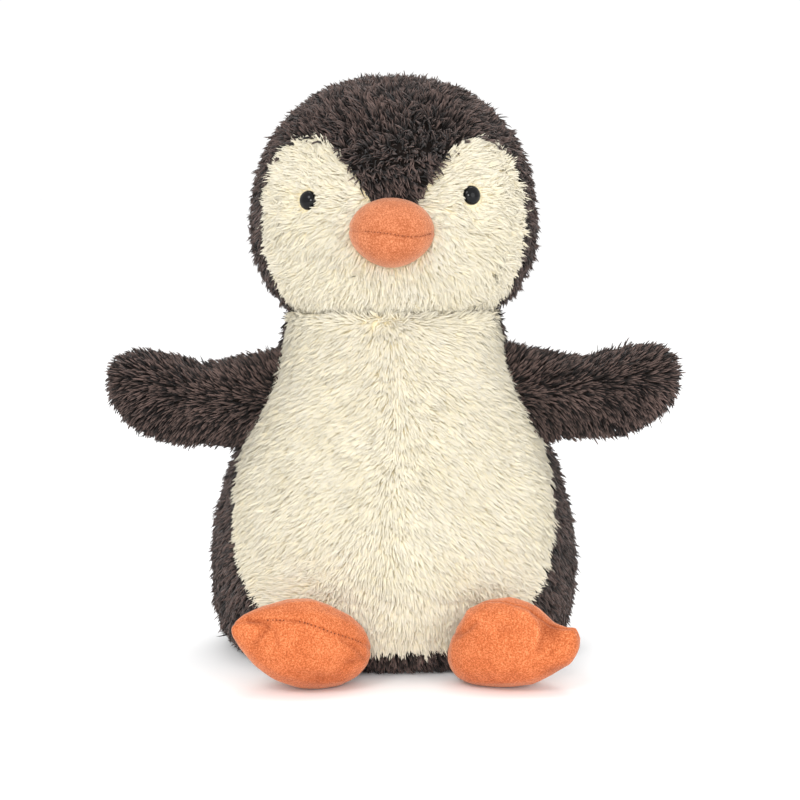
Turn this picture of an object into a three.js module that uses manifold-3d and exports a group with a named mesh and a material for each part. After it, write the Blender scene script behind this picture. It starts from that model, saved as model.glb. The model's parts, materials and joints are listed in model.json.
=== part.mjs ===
// Plush penguin, seated. Millimetres, +Z up. The origin is the centre of the flat seat that it rests
// on. The penguin faces -Y, so its right side is at -X and its left side is at +X.
import * as THREE from 'three';
import { mergeVertices } from 'three/addons/utils/BufferGeometryUtils.js';
import Module from 'manifold-3d';

const wasm = await Module();
wasm.setup();

// ---- driving dimensions ----

const SEAM_GAP = 0.3;            // between two panels at a seam, and between a skin and its filling
const PLUSH = 1.8;               // long pile fabric: the backing and the dense foot of the pile
const SUEDE = 1.2;               // short pile fabric of the beak and the feet

const BODY = {
  // Half width and height of the side wall, from the edge of the seat up to the neck.
  wall: [
    [52, 0], [62.5, 3.4], [68.4, 14], [70.4, 32], [69, 50],
    [63.2, 73], [53.6, 95], [44.6, 116], [39.9, 132], [39.6, 142],
  ],
  depth: 0.87,                   // depth over width, below the wings
  lean: 3,                       // how far the bulge comes forward at mid height
  neckDepth: 1,                  // the same at the neck
  neckZ: 142,
  seatRadius: 50,
  bellySeamY: -6,                // the belly panels end at the sides here, where they reach the wings
};

// Half of the belly's outline seen from the front, from the bottom centre up past the neck.
const BELLY_EDGE = [
  [24, 13], [46, 22], [57, 37], [60.5, 57],
  [58.5, 80], [50.5, 100], [45, 118], [44, 140],
];
const BELLY_BOTTOM_Z = 11.5;
const BELLY_TOP_Z = 160;

const HEAD = {
  centre: new THREE.Vector3(0, -1, 168),
  halfWidth: 54,
  front: 48,
  back: 50,
  above: 58,
  below: 43,
  crownFullness: 2.3,            // 2 is an ellipse; more is squarer
  neckHoleRadius: 25,
  faceDepth: 4,                  // the face panels end this far in front of the head's centre
};
// The plug of filling in the neck: both of its faces are spheres about the head's centre.
const NECK_PLUG = { radius: 13, inner: 39.4, outer: 43.4, clearance: 0.4 };
const MOTION = { nod: 15, turn: 30, clearance: 0.5 };        // degrees either way, and millimetres

// Half of each face panel's outline in x and z, as it is on the penguin's left side.
const FACE_EDGE = [
  [0, 178], [10, 184], [14, 191], [20.5, 199.5], [30, 204.5], [40, 200.5], [46.5, 190],
  [48.5, 176], [47.5, 160], [43, 147], [37, 134], [22, 118], [0, 112],
];
const CROWN_GUSSET_HALF_WIDTH = 27;

const EYE = {
  radius: 3.8, height: 2.9, stemRadius: 1.4, stemLength: 8.5,
  seat: 0.5,                     // the dome's back stands this far off the face
  right: [-32.4, 182], left: [29.4, 184],
};
const WASHER = { radius: 5, thickness: 1.2, depth: 2.8 };   // depth is under the face's surface
const BEAK = {
  x: -0.8, z: 170.6, halfWidth: 16.8, above: 13.4, below: 13.8, reach: 21,
  seamBelow: 1,                  // from the beak's middle down to its seam
  drop: 2.4,                     // how far the tip hangs
  narrowing: 0.16,               // of its width, at the bottom
};

const WING = {
  hingeX: 65, hingeY: -8, hingeZ: { right: 99.5, left: 102 },
  rootRadius: 11.5, length: 47, halfHeight: 15.6, halfDepth: 6.6, curl: 0.0042,
  widestAt: 20,                  // from the hinge, along the wing
  tipFullness: 2.4,              // 2 is an ellipse; more is squarer
};

// Splay is from straight ahead, rise is the toe's above level, and pitch turns the seam up in front.
// Both ends bend down by `droop`, and the last of the toe turns up again by `toeLift`. The round of
// the foot ends at `roundEnd` of the way to the toe's end, and `nub` is the toe's own thickness.
const FOOT = {
  toe: 30, halfWidth: 17.6, halfHeight: 17,
  toeSharpness: 1.8, toeTaper: 0.8,
  right: {
    side: -1, centre: [-33.6, -79], splay: 70, heel: 26, rise: 12, pitch: 28,
    droop: 1, toeLift: 0, roundEnd: 0.98, nub: 0.2,
  },
  left: {
    side: 1, centre: [43.6, -76.5], splay: 68, heel: 24, rise: 3, pitch: 74,
    droop: 7, toeLift: 8.5, roundEnd: 0.8, nub: 0.42,
  },
};

const POUCH = { halfWidth: 44, height: 18 };

const DARK_FUR = { color: 0x4b4543, roughness: 0.95, metalness: 0 };
const CREAM_FUR = { color: 0xf1ead0, roughness: 0.95, metalness: 0 };
const ORANGE_SUEDE = { color: 0xf08c57, roughness: 0.9, metalness: 0 };
const FILLING = { color: 0xf6f6f2, roughness: 1, metalness: 0 };
const EYE_PLASTIC = { color: 0x0a0a0b, roughness: 0.08, metalness: 0 };
const WASHER_PLASTIC = { color: 0xe6e4dc, roughness: 0.5, metalness: 0 };
const POUCH_CLOTH = { color: 0xd9d2c2, roughness: 0.9, metalness: 0 };

const HALF_GAP = SEAM_GAP / 2;
const OVERLAP = 1;               // past a face that is cut away
const FAR = 400;                 // past every surface of the toy
const UP = new THREE.Vector3(0, 0, 1);
const part = new THREE.Group();

// ---- solids ----

function solidOf(geometry) {
  const bare = geometry.clone();
  bare.deleteAttribute('normal');
  bare.deleteAttribute('uv');
  const merged = mergeVertices(bare, 1e-5);
  const index = merged.index.array;
  const corners = [];
  for (let i = 0; i < index.length; i += 3) {
    const [a, b, c] = [index[i], index[i + 1], index[i + 2]];
    if (a !== b && b !== c && c !== a) corners.push(a, b, c);
  }
  return new wasm.Manifold(new wasm.Mesh({
    numProp: 3,
    vertProperties: new Float32Array(merged.attributes.position.array),
    triVerts: new Uint32Array(corners),
  }));
}

function addPiece(name, solid, finish) {
  const mesh = solid.getMesh();
  const geometry = new THREE.BufferGeometry();
  geometry.setAttribute('position', new THREE.BufferAttribute(mesh.vertProperties, 3));
  geometry.setIndex(new THREE.BufferAttribute(mesh.triVerts, 1));
  geometry.computeVertexNormals();
  const piece = new THREE.Mesh(geometry, new THREE.MeshStandardMaterial(finish));
  piece.name = name;
  part.add(piece);
}

// Moves every vertex of a geometry to place(vertex).
function warped(geometry, place) {
  const positions = geometry.attributes.position;
  const vertex = new THREE.Vector3();
  for (let i = 0; i < positions.count; i += 1) {
    vertex.fromBufferAttribute(positions, i);
    const moved = place(vertex);
    positions.setXYZ(i, moved.x, moved.y, moved.z);
  }
  return geometry;
}

// A unit sphere with its poles on Z, warped into a solid.
function warpedBall(around, up, place) {
  return solidOf(warped(new THREE.SphereGeometry(1, around, up).rotateX(Math.PI / 2), place));
}

function ball(centre, radius) {
  return warpedBall(20, 14, (v) => v.clone().setLength(radius).add(centre));
}

function block(low, high) {
  const size = high.map((value, i) => value - low[i]);
  const middle = high.map((value, i) => (value + low[i]) / 2);
  return solidOf(new THREE.BoxGeometry(...size).translate(...middle));
}

// A rod along Z, or along `direction`, from its first to its last distance from `start`.
function rod(start, radius, first, last, direction = UP, sides = 12) {
  const geometry = new THREE.CylinderGeometry(radius, radius, last - first, sides);
  geometry.translate(0, (first + last) / 2, 0);
  const turn = new THREE.Quaternion().setFromUnitVectors(new THREE.Vector3(0, 1, 0), direction);
  return solidOf(geometry.applyQuaternion(turn).translate(start.x, start.y, start.z));
}

// A closed smooth outline in x and z, moved outward by `grow`, as a prism from y0 to y1.
function prism(points, grow, y0, y1, steps) {
  const loop = new THREE.CatmullRomCurve3(points.map(([x, z]) => new THREE.Vector3(x, z, 0)), true);
  const samples = loop.getPoints(steps).slice(0, steps);
  const side = THREE.ShapeUtils.area(samples) < 0 ? -1 : 1;
  const outline = samples.map((sample, i) => {
    const before = samples[(i + steps - 1) % steps];
    const after = samples[(i + 1) % steps];
    const along = new THREE.Vector2(after.x - before.x, after.y - before.y).normalize();
    return new THREE.Vector2(sample.x + side * along.y * grow, sample.y - side * along.x * grow);
  });
  const shape = new THREE.Shape(outline);
  const geometry = new THREE.ExtrudeGeometry(shape, { depth: y1 - y0, bevelEnabled: false });
  return solidOf(geometry.rotateX(Math.PI / 2).translate(0, y1, 0));
}

const mirroredLoop = (half) => [...half, ...half.slice(1, -1).reverse().map(([x, z]) => [-x, z])];

// The part of a solid on either side of a plane across X, Y or Z, with the seam gap between them.
function splitAt(solid, axis, at) {
  const low = [-FAR, -FAR, -FAR];
  const high = [FAR, FAR, FAR];
  const under = high.map((value, i) => (i === axis ? at - HALF_GAP : value));
  const over = low.map((value, i) => (i === axis ? at + HALF_GAP : value));
  return [solid.intersect(block(low, under)), solid.intersect(block(over, high))];
}

// ---- head shape ----

const HEAD_AROUND = 28;
const HEAD_UP = 14;
const FACE_STEPS = 48;

// Distance from the head's centre to its surface in a direction, `inset` under the surface.
function headRadius(direction, inset) {
  const depth = direction.y < 0 ? HEAD.front : HEAD.back;
  const height = direction.z > 0 ? HEAD.above : HEAD.below;
  const power = direction.z > 0 ? HEAD.crownFullness : 2;
  const level = Math.hypot(direction.x / (HEAD.halfWidth - inset), direction.y / (depth - inset));
  const upright = Math.abs(direction.z) / (height - inset);
  return (level ** power + upright ** power) ** (-1 / power);
}

function headSolid(inset) {
  return warpedBall(HEAD_AROUND, HEAD_UP, (v) => {
    const direction = v.clone().normalize();
    return direction.multiplyScalar(headRadius(direction, inset)).add(HEAD.centre);
  });
}

// All that the head passes through as it nods about X and turns about Z, with clearance.
function sweptHead() {
  const steps = [-1, -0.5, 0, 0.5, 1];
  return warpedBall(HEAD_AROUND, HEAD_UP, (v) => {
    const direction = v.clone().normalize();
    let reach = 0;
    for (const turn of steps) {
      for (const nod of steps) {
        const nodAngle = THREE.MathUtils.degToRad(nod * MOTION.nod);
        const turnAngle = THREE.MathUtils.degToRad(turn * MOTION.turn);
        const posed = direction.clone().applyEuler(new THREE.Euler(nodAngle, 0, turnAngle, 'XYZ'));
        reach = Math.max(reach, headRadius(posed, 0));
      }
    }
    return direction.multiplyScalar(reach + MOTION.clearance).add(HEAD.centre);
  });
}

// The point of the face in front of x and z, and the direction that the face looks there.
function faceAt(x, z) {
  const surface = (px, pz) => {
    let near = 0;
    let far = HEAD.front * 2;
    for (let i = 0; i < 40; i += 1) {
      const middle = (near + far) / 2;
      const offset = new THREE.Vector3(px, -middle, pz - HEAD.centre.z);
      const inside = offset.length() < headRadius(offset.clone().normalize(), 0);
      if (inside) near = middle;
      else far = middle;
    }
    return new THREE.Vector3(px, HEAD.centre.y - near, pz);
  };
  const point = surface(x, z);
  const across = surface(x + 1, z).sub(point);
  const upward = surface(x, z + 1).sub(point);
  return { point, outward: across.cross(upward).normalize() };
}

// ---- body ----

const BODY_AROUND = 28;
const BODY_WALL_STEPS = 11;
const BELLY_STEPS = 40;

// The body, `inset` under its surface: a turned profile, made less deep than wide.
function bodySolid(inset, top) {
  const curve = new THREE.SplineCurve(BODY.wall.map(([x, z]) => new THREE.Vector2(x, z)));
  const wall = curve.getPoints(BODY_WALL_STEPS).map((point, i, all) => {
    const before = all[Math.max(i - 1, 0)];
    const after = all[Math.min(i + 1, all.length - 1)];
    const outward = new THREE.Vector2(after.y - before.y, before.x - after.x).normalize();
    return new THREE.Vector2(point.x - outward.x * inset, Math.max(point.y - outward.y * inset, inset));
  });
  const rim = wall[wall.length - 1];
  const lid = [new THREE.Vector2(rim.x, top), new THREE.Vector2(0, top)];
  const profile = [new THREE.Vector2(0, inset), ...wall.slice(0, -1), ...lid];
  const turned = new THREE.LatheGeometry(profile, BODY_AROUND).rotateX(Math.PI / 2);
  return solidOf(warped(turned, (v) => {
    const bulge = Math.sin(Math.PI * THREE.MathUtils.clamp(v.z / BODY.neckZ, 0, 1));
    const nearNeck = THREE.MathUtils.smoothstep(v.z, BODY.neckZ / 2, BODY.neckZ);
    const depth = THREE.MathUtils.lerp(BODY.depth, BODY.neckDepth, nearNeck);
    return new THREE.Vector3(v.x, v.y * depth - BODY.lean * bulge, v.z);
  }));
}

// A disc as flat as the seat, with the body's proportions, from z = 0 up.
function seatDisc(radius, height) {
  const geometry = new THREE.CylinderGeometry(radius, radius, height + OVERLAP, BODY_AROUND);
  geometry.rotateX(Math.PI / 2).translate(0, 0, (height - OVERLAP) / 2);
  return solidOf(geometry.scale(1, BODY.depth, 1));
}

// The pellet pouch: a low dome, with `low` as its flat underside.
function pouchSolid(grow, low) {
  return warpedBall(20, 8, (v) => new THREE.Vector3(
    v.x * (POUCH.halfWidth + grow),
    v.y * (POUCH.halfWidth * BODY.depth + grow),
    v.z > 0.01 ? PLUSH + SEAM_GAP + v.z * (POUCH.height + grow) : low,
  ));
}

function buildBody() {
  const collar = sweptHead();
  const inside = bodySolid(PLUSH, BODY.neckZ + OVERLAP);
  const fabric = bodySolid(0, BODY.neckZ).subtract(inside).subtract(collar);
  addPiece('seat_panel', fabric.intersect(seatDisc(BODY.seatRadius, PLUSH)), DARK_FUR);

  const wrap = fabric.subtract(seatDisc(BODY.seatRadius + SEAM_GAP, PLUSH + SEAM_GAP));
  const outline = mirroredLoop([[0, BELLY_BOTTOM_Z], ...BELLY_EDGE, [0, BELLY_TOP_Z]]);
  const front = wrap.intersect(prism(outline, -HALF_GAP, -FAR, BODY.bellySeamY - HALF_GAP, BELLY_STEPS));
  const rear = wrap.subtract(prism(outline, HALF_GAP, -FAR, BODY.bellySeamY + HALF_GAP, BELLY_STEPS));
  const [bellyRight, bellyLeft] = splitAt(front, 0, 0);
  const [backRight, backLeft] = splitAt(rear, 0, 0);
  addPiece('belly_panel_right', bellyRight, CREAM_FUR);
  addPiece('belly_panel_left', bellyLeft, CREAM_FUR);
  addPiece('back_panel_right', backRight, DARK_FUR);
  addPiece('back_panel_left', backLeft, DARK_FUR);

  const pocket = pouchSolid(SEAM_GAP, PLUSH);
  const filling = bodySolid(PLUSH + SEAM_GAP, BODY.neckZ).subtract(collar).subtract(pocket);
  addPiece('body_filling', filling, FILLING);
  addPiece('pellet_pouch', pouchSolid(0, PLUSH + SEAM_GAP), POUCH_CLOTH);
}

function buildNeck() {
  const plug = rod(HEAD.centre, NECK_PLUG.radius, -FAR / 2, 0, UP, 16);
  const slab = ball(HEAD.centre, NECK_PLUG.outer).subtract(ball(HEAD.centre, NECK_PLUG.inner));
  addPiece('neck_filling', slab.intersect(plug), FILLING);
}

// ---- head ----

// An eye's dome and stem, or the same shape grown to clear them.
function eyeSolid(face, grow) {
  const dome = [0, 0.35, 0.65, 0.87, 1].map((t) => {
    const angle = t * Math.PI / 2;
    const radius = Math.cos(angle) * (EYE.radius + grow);
    return new THREE.Vector2(radius, EYE.seat + Math.sin(angle) * EYE.height);
  });
  dome[dome.length - 1].x = 0;
  const stem = EYE.stemRadius + grow;
  const profile = [
    new THREE.Vector2(0, -EYE.stemLength - grow), new THREE.Vector2(stem, -EYE.stemLength - grow),
    new THREE.Vector2(stem, EYE.seat), ...dome,
  ];
  const turn = new THREE.Quaternion().setFromUnitVectors(new THREE.Vector3(0, 1, 0), face.outward);
  const { x, y, z } = face.point;
  return solidOf(new THREE.LatheGeometry(profile, 12).applyQuaternion(turn).translate(x, y, z));
}

function stemHole(face) {
  return rod(face.point, EYE.stemRadius + SEAM_GAP, -2 * EYE.stemLength, EYE.stemLength, face.outward);
}

// The lock washer behind the face panel; `grow` makes the pocket for it, open towards the panel.
function washerSolid(face, grow) {
  const back = -WASHER.depth - WASHER.thickness - grow;
  const front = grow > 0 ? 0 : -WASHER.depth;
  const disc = rod(face.point, WASHER.radius + grow, back, front, face.outward);
  return grow > 0 ? disc : disc.subtract(stemHole(face));
}

// The beak's pod, `inset` under its surface. Its back runs on into the head.
function beakSolid(inset) {
  const root = faceAt(BEAK.x, BEAK.z).point;
  return warpedBall(18, 10, (v) => {
    const below = Math.max(-v.z, 0);
    const ahead = Math.max(-v.y, 0);
    return new THREE.Vector3(
      root.x + v.x * (BEAK.halfWidth - inset) * (1 - BEAK.narrowing * below ** 2),
      root.y + v.y * (BEAK.reach - inset),
      root.z + v.z * ((v.z > 0 ? BEAK.above : BEAK.below) - inset) - BEAK.drop * ahead ** 2,
    );
  });
}

function buildHead() {
  const neckHole = rod(HEAD.centre, HEAD.neckHoleRadius, -FAR / 2, 0, UP, 24);
  const faces = { right: faceAt(...EYE.right), left: faceAt(...EYE.left) };
  let fabric = headSolid(0).subtract(headSolid(PLUSH)).subtract(neckHole);
  const plugRoom = neckHole.subtract(ball(HEAD.centre, NECK_PLUG.inner - NECK_PLUG.clearance));
  let filling = headSolid(PLUSH + SEAM_GAP).subtract(plugRoom);
  for (const [side, face] of Object.entries(faces)) {
    addPiece(`eye_${side}`, eyeSolid(face, 0), EYE_PLASTIC);
    addPiece(`eye_washer_${side}`, washerSolid(face, 0), WASHER_PLASTIC);
    fabric = fabric.subtract(stemHole(face));
    filling = filling.subtract(eyeSolid(face, SEAM_GAP)).subtract(washerSolid(face, SEAM_GAP));
  }
  addPiece('head_filling', filling, FILLING);

  const outline = mirroredLoop(FACE_EDGE);
  const faceSide = HEAD.centre.y - HEAD.faceDepth;
  const front = fabric.intersect(prism(outline, -HALF_GAP, -FAR, faceSide - HALF_GAP, FACE_STEPS));
  const [faceRight, faceLeft] = splitAt(front, 0, 0);
  addPiece('face_panel_right', faceRight, CREAM_FUR);
  addPiece('face_panel_left', faceLeft, CREAM_FUR);

  const hood = fabric.subtract(prism(outline, HALF_GAP, -FAR, faceSide + HALF_GAP, FACE_STEPS));
  const [sideRight, inward] = splitAt(hood, 0, -CROWN_GUSSET_HALF_WIDTH);
  const [gusset, sideLeft] = splitAt(inward, 0, CROWN_GUSSET_HALF_WIDTH);
  addPiece('head_side_panel_right', sideRight, DARK_FUR);
  addPiece('crown_gusset', gusset, DARK_FUR);
  addPiece('head_side_panel_left', sideLeft, DARK_FUR);
}

function buildBeak() {
  const clear = headSolid(-SEAM_GAP);
  const fabric = beakSolid(0).subtract(beakSolid(SUEDE)).subtract(clear);
  const [lower, upper] = splitAt(fabric, 2, BEAK.z - BEAK.seamBelow);
  addPiece('beak_upper_panel', upper, ORANGE_SUEDE);
  addPiece('beak_lower_panel', lower, ORANGE_SUEDE);
  addPiece('beak_filling', beakSolid(SUEDE + SEAM_GAP).subtract(clear), FILLING);
}

// ---- wings ----

// A wing, `inset` under its surface, from the round root about the hinge out to the tip.
function wingSolid(side, inset) {
  const rootEnd = -WING.rootRadius + inset;
  const tipEnd = WING.length - inset;
  const tipSpan = tipEnd - WING.widestAt;
  return warpedBall(12, 10, (v) => {
    const out = (rootEnd + tipEnd) / 2 + v.z * (tipEnd - rootEnd) / 2;
    const around = Math.atan2(-side * v.y, v.x);
    const along = THREE.MathUtils.clamp(out / WING.widestAt, 0, 1);
    const root = WING.rootRadius - inset;
    const widening = (WING.halfHeight - WING.rootRadius) * THREE.MathUtils.smoothstep(along, 0, 1);
    const beyond = THREE.MathUtils.clamp((out - WING.widestAt) / tipSpan, 0, 1);
    let halfHeight = (root + widening) * (1 - beyond ** WING.tipFullness) ** (1 / WING.tipFullness);
    if (out < 0) halfHeight = Math.sqrt(Math.max(root ** 2 - out ** 2, 0));
    const halfDepth = (WING.halfDepth - inset) * (1 - v.z ** 4) ** 0.5;
    return new THREE.Vector3(
      side * (WING.hingeX + out),
      WING.hingeY + halfDepth * Math.sin(around),
      halfHeight * Math.cos(around) + WING.curl * Math.max(out, 0) ** 2,
    );
  });
}

function buildWing(name, side) {
  const lift = WING.hingeZ[name];
  const place = (solid) => solid.translate([0, 0, lift]);
  const fabric = place(wingSolid(side, 0)).subtract(place(wingSolid(side, PLUSH)));
  const [front, back] = splitAt(fabric, 1, WING.hingeY);
  addPiece(`wing_front_panel_${name}`, front, DARK_FUR);
  addPiece(`wing_back_panel_${name}`, back, DARK_FUR);
  addPiece(`wing_filling_${name}`, place(wingSolid(side, PLUSH + SEAM_GAP)), FILLING);
}

// ---- feet ----

// The foot's own axes: X to the toe, Y across towards the front, Z out of the upper side.
function footFrame(foot) {
  const splay = THREE.MathUtils.degToRad(foot.splay);
  const rise = THREE.MathUtils.degToRad(foot.rise);
  const pitch = THREE.MathUtils.degToRad(foot.pitch);
  const level = new THREE.Vector3(foot.side * Math.sin(splay), -Math.cos(splay), 0);
  const ahead = new THREE.Vector3(-foot.side * Math.cos(splay), -Math.sin(splay), 0);
  const toe = level.clone().multiplyScalar(Math.cos(rise)).addScaledVector(UP, Math.sin(rise));
  const upright = level.clone().multiplyScalar(-Math.sin(rise)).addScaledVector(UP, Math.cos(rise));
  const across = ahead.clone().multiplyScalar(Math.cos(pitch)).addScaledVector(upright, Math.sin(pitch));
  const upper = ahead.clone().multiplyScalar(-Math.sin(pitch)).addScaledVector(upright, Math.cos(pitch));
  return { toe, across, upper };
}

// A foot's teardrop, `inset` under its surface, with its centre at z = 0.
function footGeometry(foot, inset) {
  const { toe, across, upper } = footFrame(foot);
  const ball = new THREE.SphereGeometry(1, 14, 10).rotateX(Math.PI / 2);
  return warped(ball, (v) => {
    const length = (v.z > 0 ? FOOT.toe : foot.heel) - inset;
    const ahead = THREE.MathUtils.clamp(v.z / foot.roundEnd, 0, 1);
    const round = (1 - ahead ** FOOT.toeSharpness) ** FOOT.toeTaper;
    const nub = foot.nub * Math.sqrt(1 - v.z ** 8);
    const taper = v.z > 0 ? (round ** 4 + nub ** 4) ** 0.25 : Math.sqrt(1 - v.z ** 2);
    const around = Math.atan2(-foot.side * v.y, v.x);
    return new THREE.Vector3(foot.centre[0], foot.centre[1], 0)
      .addScaledVector(toe, v.z * length)
      .addScaledVector(across, Math.cos(around) * taper * (FOOT.halfWidth - inset))
      .addScaledVector(upper, Math.sin(around) * taper * (FOOT.halfHeight - inset))
      .addScaledVector(UP, foot.toeLift * Math.max(v.z, 0) ** 5 - foot.droop * Math.abs(v.z) ** 1.5);
  });
}

function buildFoot(name) {
  const foot = FOOT[name];
  const outside = footGeometry(foot, 0);
  outside.computeBoundingBox();
  const ground = -outside.boundingBox.min.z;      // how far up it goes to stand on the floor
  const place = (inset) => solidOf(footGeometry(foot, inset).translate(0, 0, ground));
  const fabric = place(0).subtract(place(SUEDE));
  const { upper } = footFrame(foot);
  const turn = new THREE.Quaternion().setFromUnitVectors(UP, upper);
  const halfSpace = (low, high) => {
    const geometry = new THREE.BoxGeometry(FAR, FAR, high - low).translate(0, 0, (low + high) / 2);
    return solidOf(geometry.applyQuaternion(turn).translate(foot.centre[0], foot.centre[1], ground));
  };
  addPiece(`foot_upper_panel_${name}`, fabric.intersect(halfSpace(HALF_GAP, FAR)), ORANGE_SUEDE);
  addPiece(`foot_sole_panel_${name}`, fabric.intersect(halfSpace(-FAR, -HALF_GAP)), ORANGE_SUEDE);
  addPiece(`foot_filling_${name}`, place(SUEDE + SEAM_GAP), FILLING);
}

buildBody();
buildNeck();
buildHead();
buildBeak();
buildWing('right', -1);
buildWing('left', 1);
buildFoot('right');
buildFoot('left');

export default part;
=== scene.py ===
"""The looks of a seated plush penguin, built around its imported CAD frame. Metres, +Z up, front at -Y."""
import json
import math

import bmesh
import bpy
import numpy as np
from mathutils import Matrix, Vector
from mathutils.bvhtree import BVHTree
from mathutils.kdtree import KDTree


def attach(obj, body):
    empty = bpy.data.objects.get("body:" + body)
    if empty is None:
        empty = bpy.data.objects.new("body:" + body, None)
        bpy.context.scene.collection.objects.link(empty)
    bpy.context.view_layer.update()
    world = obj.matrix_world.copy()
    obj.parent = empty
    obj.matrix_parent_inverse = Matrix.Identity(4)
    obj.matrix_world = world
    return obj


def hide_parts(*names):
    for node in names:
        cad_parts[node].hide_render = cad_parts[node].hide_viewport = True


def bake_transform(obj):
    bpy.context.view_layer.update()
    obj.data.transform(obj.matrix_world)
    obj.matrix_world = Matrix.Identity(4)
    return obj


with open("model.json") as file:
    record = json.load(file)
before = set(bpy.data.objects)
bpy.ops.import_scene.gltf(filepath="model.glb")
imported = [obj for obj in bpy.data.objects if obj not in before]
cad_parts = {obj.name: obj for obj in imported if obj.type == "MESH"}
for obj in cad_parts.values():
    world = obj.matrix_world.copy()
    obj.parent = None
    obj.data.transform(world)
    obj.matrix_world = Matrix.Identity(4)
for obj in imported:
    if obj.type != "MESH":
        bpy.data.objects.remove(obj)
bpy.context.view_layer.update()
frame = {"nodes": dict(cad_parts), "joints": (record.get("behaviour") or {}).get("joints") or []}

MM = 0.001
SEED = 20
NODES = frame["nodes"]
SIDES = {"right": -1, "left": 1}
JOINTS = {joint["name"]: joint for joint in frame["joints"]}
HEAD_CENTRE = np.array(JOINTS["head_nod"]["pos_m"])


# ---- camera, floor and light ----

CAMERA_AT = Vector((0.0, -1.04, 0.228))
CAMERA_AIM = Vector((0.0025, 0.0, 0.1))
CAMERA_LENS = 117.0                # mm
WORLD_STRENGTH = 1.04
LIGHTS_AIM = (0.0, 0.0, 0.11)
LIGHTS = {                         # place, width of the disk and power in watts
    "key_light": ((-0.6, -1.1, 1.1), 0.6, 5.6),
    "fill_light": ((0.9, -1.0, 0.4), 0.9, 4.3),
    "top_light": ((0.1, 0.35, 1.4), 0.9, 6.0),
    "front_light": ((-0.1, -1.4, 0.42), 0.4, 6.2),
}


def make_camera():
    """A long lens in front of the toy, a little above its neck."""
    data = bpy.data.cameras.new("camera")
    data.lens = CAMERA_LENS
    data.clip_start, data.clip_end = 0.05, 20.0
    camera = bpy.data.objects.new("camera", data)
    camera.location = CAMERA_AT
    camera.rotation_euler = (CAMERA_AIM - CAMERA_AT).to_track_quat("-Z", "Y").to_euler()
    bpy.context.collection.objects.link(camera)
    bpy.context.scene.camera = camera


def make_light(name, place, size, power):
    """A round soft light that faces the toy."""
    data = bpy.data.lights.new(name, "AREA")
    data.shape = "DISK"
    data.size = size
    data.energy = power
    light = bpy.data.objects.new(name, data)
    light.location = Vector(place)
    light.rotation_euler = (Vector(LIGHTS_AIM) - Vector(place)).to_track_quat("-Z", "Y").to_euler()
    bpy.context.collection.objects.link(light)


def make_studio():
    """A white room: the world, four lights and the floor."""
    scene = bpy.context.scene
    scene.view_settings.view_transform = "Standard"
    world = bpy.data.worlds.new("studio")
    world.use_nodes = True
    background = world.node_tree.nodes["Background"]
    background.inputs["Color"].default_value = (1.0, 1.0, 1.0, 1.0)
    background.inputs["Strength"].default_value = WORLD_STRENGTH
    scene.world = world
    for name, (place, size, power) in LIGHTS.items():
        make_light(name, place, size, power)

    bpy.ops.mesh.primitive_plane_add(size=8.0, location=(0.0, 0.0, 0.0))
    floor = bpy.context.object
    floor.name = "studio_floor"
    material, shader = new_material("studio_floor")
    surface(shader, Base_Color=(0.97, 0.97, 0.97, 1.0), Roughness=0.6, Specular_IOR_Level=0.2)
    floor.data.materials.append(material)


# ---- materials ----

def new_material(name):
    material = bpy.data.materials.new(name)
    material.use_nodes = True
    return material, material.node_tree.nodes["Principled BSDF"]


def add_node(material, kind, **inputs):
    node = material.node_tree.nodes.new(kind)
    for key, value in inputs.items():
        node.inputs[key.replace("_", " ")].default_value = value
    return node


def join(material, output, target):
    material.node_tree.links.new(output, target)


def object_noise(material, **inputs):
    """A noise texture that sits still on its object."""
    place = add_node(material, "ShaderNodeTexCoord")
    noise = add_node(material, "ShaderNodeTexNoise", **inputs)
    join(material, place.outputs["Object"], noise.inputs["Vector"])
    return noise


def point_value(material, name):
    """The node that reads a value written on the points of a mesh."""
    node = add_node(material, "ShaderNodeAttribute")
    node.attribute_name = name
    return node


def multiplied(material, first, second):
    """The product of two colour outputs."""
    mix = add_node(material, "ShaderNodeMix")
    mix.data_type = "RGBA"
    mix.blend_type = "MULTIPLY"
    mix.inputs["Factor"].default_value = 1.0
    join(material, first, mix.inputs["A"])
    join(material, second, mix.inputs["B"])
    return mix.outputs["Result"]


def surface(shader, **inputs):
    """Sets the numbers of a shader that are the same all over."""
    for key, value in inputs.items():
        shader.inputs[key.replace("_", " ")].default_value = value


def ramp_node(material, source, stops):
    """The node that turns a value into a colour."""
    node = material.node_tree.nodes.new("ShaderNodeValToRGB")
    ramp = node.color_ramp
    while len(ramp.elements) < len(stops):
        ramp.elements.new(0.5)
    for element, (place, colour) in zip(ramp.elements, stops):
        element.position = place
        element.color = (*colour, 1.0)
    join(material, source, node.inputs["Fac"])
    return node


def fur_material(name, stops, patch_dark, patch_light, roughness, sheen):
    """Pile whose colour runs from its root to its tip, varied strand by strand and in soft patches; the
    cream stops put painted light and the dark stops painted shade at the roots.
    """
    material, shader = new_material(name)
    shade = point_value(material, "pile_shade")
    ramp = ramp_node(material, shade.outputs["Fac"], stops)
    patches = object_noise(material, Scale=70.0, Detail=3.0)
    tint = ramp_node(material, patches.outputs["Fac"], [(0.3, patch_dark), (0.7, patch_light)])
    colour = multiplied(material, ramp.outputs["Color"], tint.outputs["Color"])
    join(material, colour, shader.inputs["Base Color"])
    surface(shader, Roughness=roughness, Specular_IOR_Level=0.2, Sheen_Weight=sheen, Sheen_Roughness=0.5)
    return material


def mottled_material(name, deep, light, scale, roughness, shine=0.2, low=0.3):
    """Two near colours mixed by a noise: low is where in the noise the deep one ends."""
    material, shader = new_material(name)
    noise = object_noise(material, Scale=scale, Detail=2.0)
    ramp = ramp_node(material, noise.outputs["Fac"], [(low, deep), (0.7, light)])
    join(material, ramp.outputs["Color"], shader.inputs["Base Color"])
    surface(shader, Roughness=roughness, Specular_IOR_Level=shine)
    return material


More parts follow.
